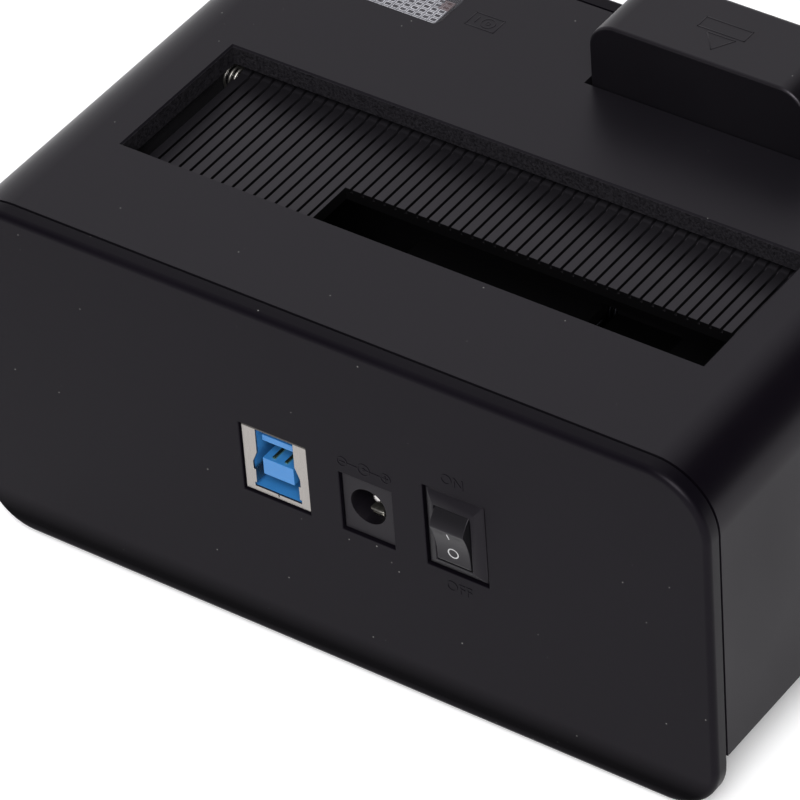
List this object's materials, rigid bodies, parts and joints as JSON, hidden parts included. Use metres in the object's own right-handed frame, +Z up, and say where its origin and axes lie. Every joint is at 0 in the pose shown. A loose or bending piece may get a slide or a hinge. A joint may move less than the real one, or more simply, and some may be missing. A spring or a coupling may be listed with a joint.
{
  "type": "hard drive docking station",
  "caption": "Desktop dock that holds a bare hard drive upright on its connector, with a spring flap over the bay, an eject button and sockets at the rear",
  "frame": {"origin": "centre of the whole dock's bounding box in X and Y, on the surface that the feet stand on", "axes": "+Z up; +Y towards the rear panel with the sockets, so -Y is the front; X along the dock's width, +X on the left as seen from behind"},
  "size_m": [0.1354, 0.0944, 0.0765],
  "materials": {
    "shell_plastic": "fine satin texture, moulded",
    "panel_plastic": "fine satin texture, moulded",
    "cover_plastic": "fine matt texture, moulded",
    "bay_plastic": "coarse matt texture, moulded",
    "flap_plastic": "satin ribs, moulded",
    "button_plastic": "fine satin texture, moulded",
    "arm_plastic": "plain natural acetal",
    "foot_rubber": "matt rubber",
    "screw_steel": "bright zinc",
    "pin_steel": "drawn bright steel",
    "spring_steel": "drawn spring wire",
    "window_clear": "clear moulded acrylic over a patterned back",
    "diffuser_plastic": "milky translucent moulding",
    "light_laminate": "green solder resist",
    "lamp_resin": "clear moulded resin",
    "lead_jacket": "soft sleeve",
    "header_plastic": "natural nylon",
    "board_laminate": "green solder resist",
    "connector_plastic": "smooth black moulding",
    "contact_gold": "gold flash plating",
    "chip_resin": "moulded resin",
    "capacitor_can": "satin can",
    "coil_ferrite": "dark ferrite",
    "crystal_can": "bright can",
    "usb_can": "bright nickel plate",
    "usb_core": "blue moulding",
    "jack_plastic": "smooth black moulding",
    "jack_metal": "nickel plate",
    "switch_plastic": "semi-gloss black moulding",
    "rocker_plastic": "semi-gloss black moulding with white marks",
    "terminal_tin": "tin plate"
  },
  "bodies": {
    "dock": {"top_shell": "shell_plastic", "rear_panel": "panel_plastic", "front_panel": "panel_plastic", "bottom_cover": "cover_plastic", "rubber_feet": "foot_rubber", "cover_screws": "screw_steel", "drive_cradle": "bay_plastic", "cradle_screws": "screw_steel", "flap_pin": "pin_steel", "flap_spring": "spring_steel", "eject_arm_pin": "pin_steel", "eject_spring": "spring_steel", "light_window": "window_clear", "light_diffuser": "diffuser_plastic", "light_board": "light_laminate", "status_lamps": "lamp_resin", "light_lead": "lead_jacket", "lead_header": "header_plastic", "main_board": "board_laminate", "board_screws": "screw_steel", "sata_housing": "connector_plastic", "sata_contacts": "contact_gold", "controller_chip": "chip_resin", "capacitors": "capacitor_can", "power_coil": "coil_ferrite", "crystal": "crystal_can", "usb_shell": "usb_can", "usb_insulator": "usb_core", "usb_contacts": "contact_gold", "dc_jack_body": "jack_plastic", "dc_jack_pin": "jack_metal", "dc_jack_contact": "jack_metal", "switch_body": "switch_plastic", "switch_terminals": "terminal_tin"},
    "flap": {"drive_flap": "flap_plastic"},
    "button": {"eject_button": "button_plastic"},
    "arm": {"eject_arm": "arm_plastic"},
    "rocker": {"switch_rocker": "rocker_plastic"}
  },
  "joints": [
    {"name": "flap_hinge", "type": "hinge", "parent": "dock", "child": "flap", "pos_m": [0, -0.00918, 0.0568], "axis": [-1, 0, 0], "range_deg": [0, 88], "stiffness_Nm_per_rad": 0.006, "springref_deg": -57.3, "deforming": ["flap_spring"]},
    {"name": "button_press", "type": "slide", "parent": "dock", "child": "button", "axis": [0, 0, -1], "range_m": [0, 0.0085]},
    {"name": "arm_pivot", "type": "hinge", "parent": "dock", "child": "arm", "pos_m": [0, -0.01518, 0.033], "axis": [1, 0, 0], "range_deg": [0, 26.59], "stiffness_Nm_per_rad": 0.05, "springref_deg": -28.65, "deforming": ["eject_spring"]},
    {"name": "rocker_tilt", "type": "hinge", "parent": "dock", "child": "rocker", "pos_m": [-0.0235, 0.04097, 0.0366], "axis": [1, 0, 0], "range_deg": [0, 24]}
  ],
  "couplings": [
    {"joint": "arm_pivot", "follows": "button_press", "rad_per_m": 54.567}
  ]
}
